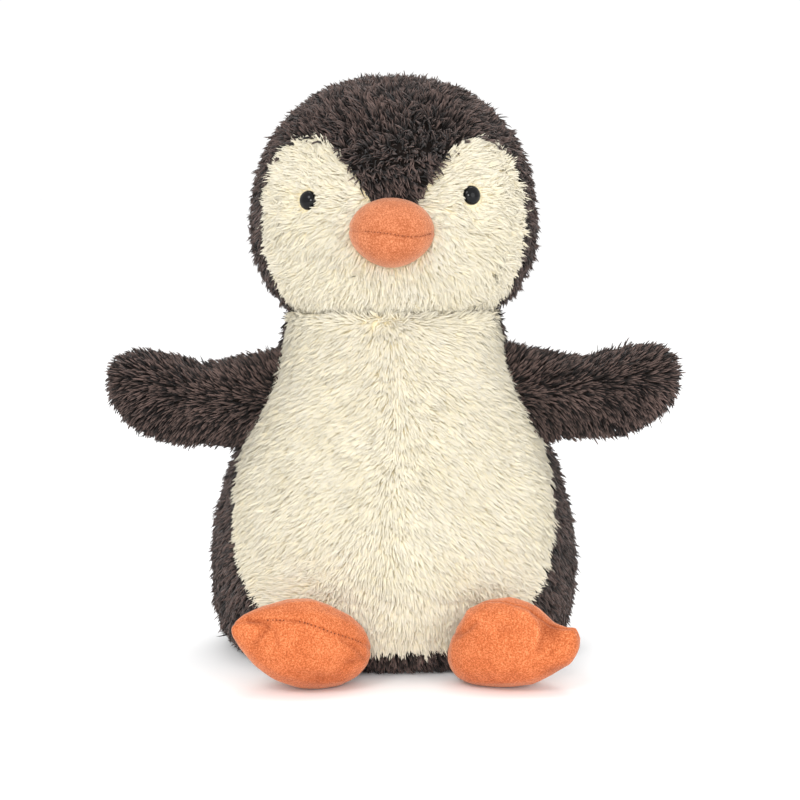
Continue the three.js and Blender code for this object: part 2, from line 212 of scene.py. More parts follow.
def ground_material(name, deep, light):
    """The woven ground that the pile stands in."""
    return mottled_material(name, deep, light, 900.0, 0.95, 0.1, 0.35)


GRAIN_SHARE = 0.8                  # of the suede's mottling; the rest is in brushed patches
# painted light of the suede's folds: a painted highlight on raised ridges (tint above 1), painted shade in
# creases, dents and seams (tint below 1)
FOLD_HIGHLIGHT_AND_SHADE = [(0.0, (1.25, 1.35, 1.5)), (0.5, (1.0, 1.0, 1.0)), (1.0, (0.58, 0.48, 0.42))]


def suede_material(name, deep, middle, light):
    """Very short brushed pile: fine mottling, soft brushed patches, a pale rim from its sheen, and painted
    light from
    how deep in a fold each point is: a painted highlight at 0 on a raised ridge, plain at 0.5 on the flat
    and painted shade at 1 in the depth of a crease."""
    material, shader = new_material(name)
    grain = object_noise(material, Scale=1650.0, Detail=2.0, Roughness=0.7)
    brushed = object_noise(material, Scale=90.0, Detail=4.0, Distortion=1.2)
    share = add_node(material, "ShaderNodeMath")
    share.operation = "MULTIPLY"
    share.inputs[1].default_value = 1 - GRAIN_SHARE
    join(material, brushed.outputs["Fac"], share.inputs[0])
    mottling = add_node(material, "ShaderNodeMath")
    mottling.operation = "MULTIPLY_ADD"
    mottling.inputs[1].default_value = GRAIN_SHARE
    join(material, grain.outputs["Fac"], mottling.inputs[0])
    join(material, share.outputs["Value"], mottling.inputs[2])
    ramp = ramp_node(
        material, mottling.outputs["Value"], [(0.38, deep), (0.5, middle), (0.62, light)])
    # painted highlight on ridges and painted shade in folds, from how deep each point was pressed
    fold_light_and_shade = point_value(material, "fold_light_and_shade")
    painted_fold_light = ramp_node(material, fold_light_and_shade.outputs["Fac"], FOLD_HIGHLIGHT_AND_SHADE)
    colour = multiplied(material, ramp.outputs["Color"], painted_fold_light.outputs["Color"])
    join(material, colour, shader.inputs["Base Color"])
    bump = add_node(material, "ShaderNodeBump", Strength=0.6, Distance=0.4 * MM)
    join(material, grain.outputs["Fac"], bump.inputs["Height"])
    join(material, bump.outputs["Normal"], shader.inputs["Normal"])
    surface(
        shader, Roughness=0.85, Specular_IOR_Level=0.15, Sheen_Weight=0.45, Sheen_Roughness=0.35,
        Sheen_Tint=(1.0, 0.72, 0.55, 1.0))
    return material


# Colours of the pile from its roots (0) to its tips (1).
# painted light: the cream's roots are brighter and warmer than its tips, for light that passes through the
# pile into the gaps between strands
CREAM_STOPS = [(0.0, (0.95, 0.82, 0.55)), (0.45, (0.76, 0.69, 0.52)), (1.0, (0.68, 0.64, 0.54))]
# painted shade: the dark pile's roots and middles are near black for the shade in the gaps between strands;
# the tips hold the pile's own colour
DARK_STOPS = [
    (0.0, (0.004, 0.0025, 0.002)), (0.5, (0.014, 0.009, 0.0075)), (1.0, (0.134, 0.089, 0.076)),
]


def make_materials():
    return {
        "cream": fur_material("cream_fur", CREAM_STOPS, (0.96, 0.95, 0.91), (1.0, 1.0, 1.0), 0.75, 0.05),
        "dark": fur_material("dark_fur", DARK_STOPS, (0.72, 0.72, 0.72), (1.15, 1.15, 1.15), 0.55, 0.12),
        # the cream ground is partly its own cream and partly painted light: brightened and warmed so that
        # the gaps between strands look lit
        "cream_skin": ground_material("cream_ground", (0.94, 0.80, 0.50), (0.98, 0.86, 0.58)),
        "dark_skin": ground_material("dark_ground", (0.008, 0.006, 0.005), (0.020, 0.015, 0.013)),
        "foot_suede": suede_material(
            "foot_suede", (0.37, 0.085, 0.024), (0.54, 0.14, 0.045), (0.70, 0.235, 0.095)),
        "beak_suede": suede_material(
            "beak_suede", (0.34, 0.09, 0.032), (0.46, 0.145, 0.06), (0.62, 0.23, 0.11)),
        "thread": mottled_material(
            "orange_thread", (0.12, 0.028, 0.012), (0.20, 0.05, 0.02), 900.0, 0.7),
        "eye": mottled_material(
            "eye_plastic", (0.002, 0.002, 0.002), (0.004, 0.004, 0.005), 300.0, 0.06, 0.22),
        "filling": mottled_material(
            "fibre_filling", (0.80, 0.80, 0.78), (0.93, 0.93, 0.91), 500.0, 1.0),
        "pouch": mottled_material("pouch_cloth", (0.60, 0.54, 0.45), (0.74, 0.68, 0.58), 1200.0, 0.9),
        "washer": mottled_material(
            "washer_plastic", (0.74, 0.72, 0.66), (0.80, 0.78, 0.72), 400.0, 0.45),
    }


# ---- mesh helpers ----

def mesh_arrays(mesh):
    """A mesh's points and triangles."""
    points = np.empty(len(mesh.vertices) * 3, np.float32)
    mesh.vertices.foreach_get("co", points)
    mesh.calc_loop_triangles()
    corners = np.empty(len(mesh.loop_triangles) * 3, np.int32)
    mesh.loop_triangles.foreach_get("vertices", corners)
    return points.reshape(-1, 3).astype(float), corners.reshape(-1, 3)


def node_arrays(name):
    """A CAD node's corner points and triangles."""
    return mesh_arrays(NODES[name].data)


def surface_arrays(thing):
    """Points, normals at points, and triangles of an object."""
    points, corners = mesh_arrays(thing.data)
    normals = np.empty(len(points) * 3, np.float32)
    thing.data.vertex_normals.foreach_get("vector", normals)
    return points, normals.reshape(-1, 3).astype(float), corners


def new_mesh_object(name, points, faces):
    """An object from numpy points and equal-sided faces, quick enough for a million strands."""
    mesh = bpy.data.meshes.new(name)
    points = np.ascontiguousarray(points, np.float32)
    faces = np.ascontiguousarray(faces, np.int32)
    mesh.vertices.add(len(points))
    mesh.vertices.foreach_set("co", points.ravel())
    mesh.loops.add(faces.size)
    mesh.loops.foreach_set("vertex_index", faces.ravel())
    mesh.polygons.add(len(faces))
    mesh.polygons.foreach_set("loop_start", np.arange(0, faces.size, faces.shape[1], dtype=np.int32))
    mesh.polygons.foreach_set("use_smooth", np.full(len(faces), True))
    mesh.update(calc_edges=True)
    thing = bpy.data.objects.new(name, mesh)
    bpy.context.collection.objects.link(thing)
    return thing


def only(thing):
    """Selects one object."""
    bpy.ops.object.select_all(action="DESELECT")
    thing.select_set(True)
    bpy.context.view_layer.objects.active = thing


def apply_modifier(thing, modifier):
    only(thing)
    bpy.ops.object.modifier_apply(modifier=modifier.name)


def merged(name, nodes, voxel, extra=()):
    """One closed smooth solid that wraps the named CAD nodes and any extra (points, faces) solids."""
    all_points, all_faces, start = [], [], 0
    for points, faces in [node_arrays(node) for node in nodes] + list(extra):
        all_points.append(points)
        all_faces.append(faces + start)
        start += len(points)
    thing = new_mesh_object(name, np.concatenate(all_points), np.concatenate(all_faces))
    remesh = thing.modifiers.new("remesh", "REMESH")
    remesh.mode = "VOXEL"
    remesh.voxel_size = voxel
    apply_modifier(thing, remesh)
    keep_largest(thing)
    return thing


def keep_largest(thing):
    """Deletes the small shells that remeshing leaves inside."""
    shape = bmesh.new()
    shape.from_mesh(thing.data)
    left = set(shape.verts)
    groups = []
    while left:
        seed = left.pop()
        group, edge = {seed}, [seed]
        while edge:
            vertex = edge.pop()
            for link in vertex.link_edges:
                other = link.other_vert(vertex)
                if other in left:
                    left.discard(other)
                    group.add(other)
                    edge.append(other)
        groups.append(group)
    groups.sort(key=len, reverse=True)
    doomed = [vertex for group in groups[1:] for vertex in group]
    bmesh.ops.delete(shape, geom=doomed, context="VERTS")
    shape.to_mesh(thing.data)
    shape.free()


def smoothed(thing, rounds):
    smooth = thing.modifiers.new("smooth", "SMOOTH")
    smooth.iterations = rounds
    smooth.factor = 0.5
    apply_modifier(thing, smooth)


def grown(thing, distance):
    """Moves every point out along its normal."""
    displace = thing.modifiers.new("grow", "DISPLACE")
    displace.strength = distance
    displace.mid_level = 0.0
    apply_modifier(thing, displace)


def subdivided(thing):
    """Splits each face in four and rounds the surface."""
    subdivision = thing.modifiers.new("fine", "SUBSURF")
    subdivision.levels = 1
    apply_modifier(thing, subdivision)
    thing.data.polygons.foreach_set("use_smooth", np.full(len(thing.data.polygons), True))


def unit(vectors):
    return vectors / np.maximum(np.linalg.norm(vectors, axis=-1, keepdims=True), 1e-12)


def nearest_panel(panels, points):
    """For each point, the index of the CAD panel whose surface is nearest."""
    best = np.full(len(points), np.inf)
    owner = np.zeros(len(points), int)
    for i, panel in enumerate(panels):
        corners, faces = node_arrays(panel)
        tree = BVHTree.FromPolygons([Vector(p) for p in corners], faces.tolist())
        reach = np.array([tree.find_nearest(Vector(p))[3] for p in points])
        closer = reach < best
        best[closer] = reach[closer]
        owner[closer] = i
    return owner


# ---- fur ----

STRANDS_PER_PIECE = 12000
RINGS = (0.0, 0.4, 0.8)            # where along a strand its rings of three points are
RING_WIDTH = (0.85, 1.0, 0.66)     # of the strand's width
ROOT_SINK = 0.4 * MM               # how far a strand's root is below the skin
STRAND_TURN = 0.5                  # radians about the strand, so that no flat side faces out
LENGTH_SPREAD, TUFT_SPREAD, WIDTH_SPREAD = 0.14, 0.10, 0.22
STRAND_WILD, TUFT_WILD = 0.6, 0.9  # shares of a style's "wild" that go to each strand and to each tuft
TIP_LEAN = 0.6                     # how much of its lean's growth a strand has at its tip
TIP_SHADE, ROOT_SHADE = 0.9, 0.08  # how the shade grows along a strand, and where it starts
SWIRL_SEED = 7


def strand_faces(count):
    """The triangles of closed three-sided strands: a root cap, two bands and a tip."""
    triangles = [(2, 1, 0)]
    rings = len(RINGS)
    for ring in range(rings - 1):
        for side in range(3):
            a, b = 3 * ring + side, 3 * ring + (side + 1) % 3
            triangles += [(a, b, b + 3), (a, b + 3, a + 3)]
    last = 3 * (rings - 1)
    triangles += [(last + side, last + (side + 1) % 3, last + 3) for side in range(3)]
    per_strand = 3 * rings + 1
    return (np.array(triangles)[None] + per_strand * np.arange(count)[:, None, None]).reshape(-1, 3)


def scatter(points, normals, faces, density, rng):
    """Random roots all over a surface, with their normals."""
    a, b, c = (points[faces[:, i]] for i in range(3))
    areas = np.linalg.norm(np.cross(b - a, c - a), axis=1) / 2
    count = int(areas.sum() * density)
    chosen = rng.choice(len(faces), count, p=areas / areas.sum())
    u, v = rng.random(count), rng.random(count)
    over = u + v > 1
    u[over], v[over] = 1 - u[over], 1 - v[over]
    w = (1 - u - v)[:, None]
    u, v = u[:, None], v[:, None]
    picked = faces[chosen]
    roots = w * points[picked[:, 0]] + u * points[picked[:, 1]] + v * points[picked[:, 2]]
    facing = w * normals[picked[:, 0]] + u * normals[picked[:, 1]] + v * normals[picked[:, 2]]
    return roots, unit(facing)


def clumps(roots, share, rng):
    """For each root, the index of the tuft leader nearest to it."""
    leaders = rng.choice(len(roots), max(1, int(len(roots) * share)), replace=False)
    tree = KDTree(len(leaders))
    for i in leaders:
        tree.insert(roots[i], int(i))
    tree.balance()
    return np.array([tree.find(root)[1] for root in roots])


def swirl(roots, scale):
    """A smooth vector noise: a sum of a few waves, the same on every run."""
    rng = np.random.default_rng(SWIRL_SEED)
    total = np.zeros((len(roots), 3))
    for octave in (1.0, 1.9, 3.1):
        for axis in range(3):
            wave = rng.normal(size=3)
            wave *= octave / scale / np.linalg.norm(wave)
            total[:, axis] += np.sin(roots @ wave * 2 * math.pi + rng.random() * 2 * math.pi) / octave
    return total


def strand_mesh(roots, normals, flows, sizes, lifts, style, rng):
    """Points, shading normals and shades of the strands."""
    count = len(roots)
    leader = clumps(roots, style["tufts"], rng)
    wild = style["wild"]
    flows = flows + wild * swirl(roots, style["swirl"]) + STRAND_WILD * wild * rng.normal(size=(count, 3))
    flows += (TUFT_WILD * wild * rng.normal(size=(count, 3)))[leader]
    flows -= (flows * normals).sum(1, keepdims=True) * normals
    flows = unit(flows)
    length = style["length"] * (1 + LENGTH_SPREAD * rng.normal(size=count)).clip(0.6, 1.4)
    length *= (1 + TUFT_SPREAD * rng.normal(size=count))[leader].clip(0.75, 1.25)
    length = (length * sizes)[:, None]
    first, last = (math.radians(angle) for angle in style["lean"])
    stray = style["stray"]
    bend = stray * (rng.normal(size=count) + rng.normal(size=count)[leader])[:, None]
    side = np.cross(normals, flows)

    def along(t):
        lean = (first + (last - first) * t * TIP_LEAN) * lifts[:, None] + bend * t
        return length * t * (np.cos(lean) * normals + np.sin(lean) * flows)

    pull = style["pull"]
    leader_tip = roots[leader] + along(1.0)[leader]
    width = style["width"] * (1 + WIDTH_SPREAD * rng.normal(size=count)).clip(0.5, 1.7)[:, None]
    own_tip = roots + along(1.0)
    points = np.empty((count, 3 * len(RINGS) + 1, 3))
    shading = np.empty_like(points)
    for ring, (t, share) in enumerate(zip(RINGS, RING_WIDTH)):
        middle = roots + along(t) + pull * t * t * (leader_tip - own_tip) - ROOT_SINK * (t == 0) * normals
        ahead = unit(along(t + 0.1) - along(max(t - 0.1, 0.0)))
        over = np.cross(ahead, side)
        for corner in range(3):
            turn = 2 * math.pi * corner / 3 + STRAND_TURN
            out = math.cos(turn) * side + math.sin(turn) * over
            points[:, 3 * ring + corner] = middle + 0.5 * share * width * out
            shading[:, 3 * ring + corner] = style["round"] * out + (1 - style["round"]) * over
    points[:, -1] = own_tip + pull * (leader_tip - own_tip)
    shading[:, -1] = over
    tone = style["tone"] * (rng.normal(size=count) + rng.normal(size=count)[leader])[:, None]
    heights = np.repeat(np.array(RINGS), 3).tolist() + [1.0]
    shades = (np.array(heights)[None] * TIP_SHADE + ROOT_SHADE + tone).clip(0, 1)
    return points, unit(shading), shades


def fur_pieces(name, roots, normals, comb, style, material, body, made, blend=None):
    """Fur objects of at most STRANDS_PER_PIECE strands, cut across Z so that each is one area."""
    rng = np.random.default_rng(SEED + len(made))
    order = np.argsort(roots[:, 2])
    roots, normals = roots[order], normals[order]
    flows, sizes, lifts = comb(roots)
    points, shading, shades = strand_mesh(roots, normals, flows, sizes, lifts, style, rng)
    points[:, :, 2] = np.maximum(points[:, :, 2], FLOOR_CLEARANCE)
    parts = math.ceil(len(roots) / STRANDS_PER_PIECE)
    split = [np.array_split(values, parts) for values in (points, shading, shades)]
    for i, (some, facing, shade) in enumerate(zip(*split)):
        label = f"{name}_{i + 1}" if parts > 1 else name
        thing = new_mesh_object(label, some.reshape(-1, 3), strand_faces(len(some)))
        thing.data.normals_split_custom_set_from_vertices(facing.reshape(-1, 3))
        attribute = thing.data.attributes.new("pile_shade", "FLOAT", "POINT")
        attribute.data.foreach_set("value", shade.astype(np.float32).ravel())
        thing.data.materials.append(material)
        if blend:
            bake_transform(thing)
        else:
            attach(thing, body)
        made.append(thing)


FLOOR_CLEARANCE = 0.3 * MM
# A style of pile: the length and width of its strands, their lean in degrees from the skin's normal at the
# root and the tip, the share that lead "tufts" and their "pull" on the rest, "wild" and "stray" for how
# disorderly its flow and its bends are, "swirl" for the size of its swirls, "round" for how round a strand
# looks lit, and "tone" for the spread of its shade.
CREAM_STYLE = {
    "length": 4.8 * MM, "width": 0.56 * MM, "lean": (46, 84), "tufts": 0.25, "pull": 0.25, "wild": 0.18,
    "swirl": 0.04, "round": 0.15, "stray": 0.12, "tone": 0.06,
}
FACE_STYLE = {
    "length": 4.8 * MM, "width": 0.54 * MM, "lean": (42, 80), "tufts": 0.22, "pull": 0.36, "wild": 0.25,
    "swirl": 0.02, "round": 0.15, "stray": 0.14, "tone": 0.06,
}
DARK_STYLE = {
    "length": 5.4 * MM, "width": 0.66 * MM, "lean": (30, 78), "tufts": 0.4, "pull": 0.3, "wild": 0.22,
    "swirl": 0.04, "round": 0.9, "stray": 0.14, "tone": 0.13,
}
CROWN_STYLE = {
    "length": 5.2 * MM, "width": 0.66 * MM, "lean": (26, 74), "tufts": 0.3, "pull": 0.45, "wild": 0.4,
    "swirl": 0.02, "round": 0.9, "stray": 0.16, "tone": 0.13,
}
WING_STYLE = {
    "length": 4.7 * MM, "width": 0.68 * MM, "lean": (28, 68), "tufts": 0.6, "pull": 0.2, "wild": 0.17,
    "swirl": 0.05, "round": 0.95, "stray": 0.13, "tone": 0.23,
}
CREAM_DENSITY = 3.3e6              # strands in a square metre
DARK_DENSITY = 1.3e6
WING_DENSITY = 1.5e6


# ---- which way the pile runs: its flow, its length against its style's, and its lean against it ----

COLLAR_RIM = 129 * MM              # the height where the collar's rim begins
RIM_HEIGHT = 8 * MM
RIM_LIFT = 0.25                    # how much nearer to upright the rim's pile is
SEAT_START, SEAT_FADE = 105 * MM, 90 * MM      # down from here the belly's pile turns straight down
PARTING, RIM_PARTING = 13 * MM, 30 * MM        # half widths of the parting at the belly's centre seam
FOOT_REACH, FOOT_FADE, FOOT_PUSH = 31 * MM, 12 * MM, 0.9
EYE_REACH, EYE_FADE, EYE_PUSH, EYE_TRIM = 9 * MM, 5 * MM, 0.8, 0.4
FACE_FLOW_RISE = 14 * MM           # the middle of the face's flow is this far above the head's centre
CHIN_DROP, CHIN_FADE, CHIN_TRIM = 20 * MM, 10 * MM, 0.35
HEAD_RADIUS = 50 * MM


def node_middle(name):
    return node_arrays(name)[0].mean(0)


def plain(roots):
    """Pile of its style's own length and lean."""
    return np.ones(len(roots)), np.ones(len(roots))


def rim_share(roots):
    """How much of a root's place is on the collar's rim, where the pile stands up against the head."""
    return np.clip((roots[:, 2] - COLLAR_RIM) / RIM_HEIGHT, 0, 1)


def comb_belly(roots):
    """Down and away from the centre seam, straighter down near the seat, and aside from the feet."""
    x, z = roots[:, 0], roots[:, 2]
    low = np.clip((SEAT_START - z) / SEAT_FADE, 0, 1)
    rim = rim_share(roots)
    away = np.tanh(x / (PARTING + RIM_PARTING * rim)) * (1.45 - 1.2 * low) + x / 0.07 * 0.3
    flow = np.stack([away, 0.0 * x, 1.5 * rim - 1], 1)
    for middle in FOOT_MIDDLES.values():
        gap = roots - middle
        gap[:, 1] = 0.0
        near = np.clip((FOOT_REACH - np.linalg.norm(gap, axis=1)) / FOOT_FADE, 0, 1)
        flow += FOOT_PUSH * near[:, None] * unit(gap)
    sizes, lifts = plain(roots)
    return flow, sizes, lifts * (1 - RIM_LIFT * rim)


def comb_back(roots):
    """Down, drawn a little towards the sides."""
    x = roots[:, 0]
    rim = rim_share(roots)
    flow = np.stack([x / 0.09, 0.1 * np.ones_like(x), 1.5 * rim - 1], 1)
    sizes, lifts = plain(roots)
    return flow, sizes, lifts * (1 - RIM_LIFT * rim)


def comb_face(roots):
    """Away from the beak and the eyes: up over the eyes, out across the cheeks, down under the chin."""
    flow = roots - (HEAD_CENTRE + np.array([0.0, 0.0, FACE_FLOW_RISE]))
    flow[:, 1] = 0.0
    flow = unit(flow)
    flow[:, 2] -= 0.2
    flow[:, 1] = 0.2
    sizes, lifts = plain(roots)
    for side in SIDES:
        gap = roots - EYE_MIDDLES[side]
        gap[:, 1] = 0.0
        near = np.clip((EYE_REACH - np.linalg.norm(gap, axis=1)) / EYE_FADE, 0, 1)
        flow += EYE_PUSH * near[:, None] * unit(gap)
        sizes *= 1 - EYE_TRIM * near
    chin = np.clip((HEAD_CENTRE[2] - CHIN_DROP - roots[:, 2]) / CHIN_FADE, 0, 1)
    return flow, sizes * (1 - CHIN_TRIM * chin), lifts


def comb_hood(roots):
    """Down the forehead to the beak, up and back over the crown, and down at the sides and the back."""
    out = (roots - HEAD_CENTRE) / HEAD_RADIUS
    x, y, z = out[:, 0], out[:, 1], out[:, 2]
    front = np.clip(-y / 0.7, 0, 1)[:, None]
    crown = np.clip((z - 0.5) / 0.5, 0, 1)[:, None]
    down = np.stack([0.5 * x, 0.2 + 0.0 * x, -1.0 + 0.0 * x], 1)
    forehead = np.stack([-0.25 * x, 0.0 * x, -1.0 + 0.0 * x], 1)
    over = np.stack([1.4 * x, 0.6 + 0.0 * x, 0.35 + 0.0 * x], 1)
    flow = (down * (1 - front) + forehead * front) * (1 - crown) + over * crown
    sizes, lifts = plain(roots)
    lifts *= 1 - 0.5 * np.exp(-((z - 0.8) / 0.22) ** 2) * front[:, 0]
    return flow, sizes, lifts


FOOT_MIDDLES = {side: node_middle(f"foot_filling_{side}") for side in SIDES}
EYE_MIDDLES = {side: node_middle(f"eye_{side}") for side in SIDES}
BEAK_MIDDLE = (node_middle("beak_upper_panel") + node_middle("beak_lower_panel")) / 2


# ---- body and head ----

BODY_PANELS = ["belly_panel_right", "belly_panel_left", "back_panel_right", "back_panel_left", "seat_panel"]
HEAD_PANELS = [
    "face_panel_right", "face_panel_left", "head_side_panel_right", "crown_gusset", "head_side_panel_left",
]
CREAM_PANELS = {"belly_panel_right", "belly_panel_left", "face_panel_right", "face_panel_left"}
COMBS = {"belly": comb_belly, "back": comb_back, "face": comb_face, "head": comb_hood, "crown": comb_hood}
SKIN_VOXEL = 2 * MM
NECK_FLOOR, NECK_REACH, NECK_FRONT = 100 * MM, 34 * MM, 0.4
COLLAR_FLOOR, COLLAR_FACING = 120 * MM, 0.45
SEAT_HEIGHT, SEAT_FACING = 2.5 * MM, -0.8
HIDDEN_CONE = math.radians(33)     # about straight down: the part of the head that never leaves the collar
EYE_CLEARING = 4.2 * MM
BEAK_CLEARING = np.array([15.5 * MM, 20 * MM, 12.5 * MM])


def front_of_neck(points):
    """Whether each point is at the front of the head's underside or of the collar's hollow, which show
    when the head nods back."""
    out = points - HEAD_CENTRE
    reach = np.linalg.norm(out[:, :2], axis=1)
    ahead = -out[:, 1] > NECK_FRONT * reach
    return (out[:, 2] < 0) & (points[:, 2] > NECK_FLOOR) & (reach < NECK_REACH) & ahead


def two_tone(skin, panels, looks):
    """Gives each face of a skin the ground colour of the panel that it belongs to."""
    skin.data.materials.clear()
    skin.data.materials.append(looks["dark_skin"])
    skin.data.materials.append(looks["cream_skin"])
    centres = np.array([polygon.center[:] for polygon in skin.data.polygons])
    owner = nearest_panel(panels, centres)
    cream = np.array([panel in CREAM_PANELS for panel in panels])
    shows_cream = cream[owner] | front_of_neck(centres)
    skin.data.polygons.foreach_set("material_index", shows_cream.astype(np.int32))
    skin.data.update()


def make_furred(name, panels, filling, body, keep, looks, made):
    """A closed skin over a stuffed bag of panels, with each panel's fur on it."""
    skin = merged(f"{name}_skin", panels + filling, SKIN_VOXEL)
    smoothed(skin, 3)
    grown(skin, 0.5 * MM)
    subdivided(skin)
    two_tone(skin, panels, looks)
    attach(skin, body)
    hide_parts(*panels)
    made.append(skin)

    rng = np.random.default_rng(SEED + len(panels))
    points, normals, faces = surface_arrays(skin)
    roots, facing = scatter(points, normals, faces, CREAM_DENSITY, rng)
    roots, facing = keep(roots, facing)
    owner = nearest_panel(panels, roots)
    cream_style, dark_style = (CREAM_STYLE, DARK_STYLE) if body == "body" else (FACE_STYLE, CROWN_STYLE)
    for i, panel in enumerate(panels):
        mine = np.flatnonzero(owner == i)
        cream = panel in CREAM_PANELS
        if not cream:
            mine = mine[rng.random(len(mine)) < DARK_DENSITY / CREAM_DENSITY]
        if panel == "seat_panel":
            continue
        fur_pieces(
            f"{panel}_fur", roots[mine], facing[mine], COMBS[panel.split("_")[0]],
            cream_style if cream else dark_style, looks["cream" if cream else "dark"], body,
            made,
        )


def body_fur_area(roots, facing):
    """The roots of all but the underside and the hollow under the head, the rim's pile turned outwards."""
    to_head = unit(HEAD_CENTRE - roots)
    in_collar = ((facing * to_head).sum(1) > COLLAR_FACING) & (roots[:, 2] > COLLAR_FLOOR)
    under = (facing[:, 2] < SEAT_FACING) | (roots[:, 2] < SEAT_HEIGHT)
    shown = ~in_collar & ~under
    roots, facing = roots[shown], facing[shown].copy()
    facing[:, 2] *= 1 - 0.8 * rim_share(roots)
    return roots, unit(facing)


def head_fur_area(roots, facing):
    """The roots of all but the eyes, the beak and the underside that never leaves the collar."""
    out = roots - HEAD_CENTRE
    below = -out[:, 2] / np.linalg.norm(out, axis=1)
    shown = below < math.cos(HIDDEN_CONE)
    for side in SIDES:
        shown &= np.linalg.norm(roots - EYE_MIDDLES[side], axis=1) > EYE_CLEARING
    from_beak = (roots - BEAK_MIDDLE) / BEAK_CLEARING
    shown &= np.linalg.norm(from_beak, axis=1) > 1
    return roots[shown], facing[shown]


# ---- wings ----

WING_VOXEL = 2 * MM
WING_PILE_START = 43 * MM          # from the middle of the body
WING_ROD_START, WING_ROD_REACH = 40 * MM, 10 * MM      # from the middle of the body, and past the joint
WING_ROD_INNER = (8 * MM, 18.5 * MM, 1.5 * MM)
WING_ROD_OUTER = (7 * MM, 13.5 * MM, 0.5 * MM)
ROD_SIDES = 20
WING_BEND = (50 * MM, 76 * MM)     # where a bend of a wing's skin would start and end; only passed along, nothing bends the skin
WING_RISE = 0.0042                 # how a wing curls up towards its tip, in mm for each square mm
WING_HALF_HEIGHT = 16 * MM
WING_FAN, WING_DROOP = 2.0, 0.35   # how the pile spreads from the wing's middle line, and how it hangs


def oval_rod(start, end, first, last):
    """A closed oval rod along X that bridges a wing's root into the body: first and last are its half
    depth, half height and middle height at each end."""
    sides = ROD_SIDES
    turn = np.arange(sides) * 2 * math.pi / sides
    rings = []
    for x, (depth, height, middle) in ((start, first), (end, last)):
        rings.append(np.stack([np.full(sides, x), depth * np.sin(turn), middle + height * np.cos(turn)], 1))
    points = np.concatenate(rings + [[[start, 0, 0], [end, 0, 0]]])
    faces = []
    for i in range(sides):
        j = (i + 1) % sides
        faces += [(i, j, sides + j), (i, sides + j, sides + i)]
        faces += [(2 * sides, j, i), (2 * sides + 1, sides + i, sides + j)]
    return points, np.array(faces)


def make_wing(name, looks, made):
    """A wing's skin, bridged into the body, with its pile."""
    side = SIDES[name]
    nodes = [f"wing_{part}_{name}" for part in ("front_panel", "back_panel", "filling")]
    hinge = np.array(JOINTS[f"wing_flap_{name}"]["pos_m"])
    inner, outer = side * WING_ROD_START, hinge[0] + side * WING_ROD_REACH
    points, faces = oval_rod(inner, outer, WING_ROD_INNER, WING_ROD_OUTER)
    points += [0.0, hinge[1], hinge[2]]
    skin = merged(f"wing_skin_{name}", nodes, WING_VOXEL, [(points, faces)])
    smoothed(skin, 10)
    grown(skin, 0.8 * MM)
    inflate(skin, pressure=3.0, cap=1.5 * MM)
    subdivided(skin)
    skin.data.materials.append(looks["dark_skin"])
    bend = ("body", f"wing_{name}", *((side * x, hinge[1], hinge[2]) for x in WING_BEND))
    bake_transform(skin)
    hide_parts(*nodes[:2])
    made.append(skin)
    rng = np.random.default_rng(SEED + 50 + side)
    points, normals, faces = surface_arrays(skin)
    roots, facing = scatter(points, normals, faces, WING_DENSITY, rng)
    shown = np.abs(roots[:, 0]) > WING_PILE_START
    roots, facing = roots[shown], facing[shown]

    def comb(points):
        """Out to the tip, and away from the wing's middle line."""
        out = np.abs(points[:, 0]) - abs(hinge[0])
        rise = points[:, 2] - hinge[2] - WING_RISE * (out.clip(0) / MM) ** 2 * MM
        up = rise / WING_HALF_HEIGHT * WING_FAN - WING_DROOP
        flow = np.stack([side * np.ones_like(out), 0.0 * out, up], 1)
        return flow, *plain(points)

    fur_pieces(
        f"wing_fur_{name}", roots, facing, comb, WING_STYLE, looks["dark"], None, made, bend)


# ---- beak and feet ----

CLOTH_STEPS = 15


def inflate(thing, pressure, cap):
    """Cloth simulation: the stitched skin swells as its filling presses out, each point by at most cap."""
    before, _, _ = surface_arrays(thing)
    cloth = thing.modifiers.new("cloth", "CLOTH")
    settings = cloth.settings
    settings.quality = 5
    settings.mass = 0.2
    settings.tension_stiffness = 25.0
    settings.compression_stiffness = 25.0
    settings.bending_stiffness = 1.0
    settings.use_pressure = True
    settings.uniform_pressure_force = pressure
    settings.effector_weights.gravity = 0.0
    scene = bpy.context.scene
    only(thing)
    for step in range(1, CLOTH_STEPS + 1):
        scene.frame_set(step)
    apply_modifier(thing, cloth)
    scene.frame_set(1)
    after, _, _ = surface_arrays(thing)
    moved = after - before
    reach = np.linalg.norm(moved, axis=1, keepdims=True)
    moved *= np.minimum(1.0, cap / np.maximum(reach, 1e-9))
    thing.data.vertices.foreach_set("co", (before + moved).astype(np.float32).ravel())
    thing.data.update()


SEAM_GAP = 0.8 * MM                # the corners of two panels nearer than this are on their seam


def seam_plane(first, second):
    """The plane in which two CAD panels meet: its centre and its normal, towards the second panel."""
    here, _ = node_arrays(first)
    there, _ = node_arrays(second)
    tree = KDTree(len(there))
    for i, point in enumerate(there):
        tree.insert(point, i)
    tree.balance()
    rim = np.array([point for point in here if tree.find(point)[2] < SEAM_GAP])
    centre = rim.mean(0)
    normal = np.linalg.svd(rim - centre)[2][2]
    if normal @ (there.mean(0) - here.mean(0)) < 0:
        normal = -normal
    return centre, normal


NEAR_SEAM = 0.5 * MM


def ball_arrays():
    """The points and faces of a small ball of radius 1."""
    base = bmesh.new()
    bmesh.ops.create_icosphere(base, subdivisions=2, radius=1.0)
    points = np.array([v.co[:] for v in base.verts])
    faces = np.array([[v.index for v in f.verts] for f in base.faces])
    base.free()
    return points, faces


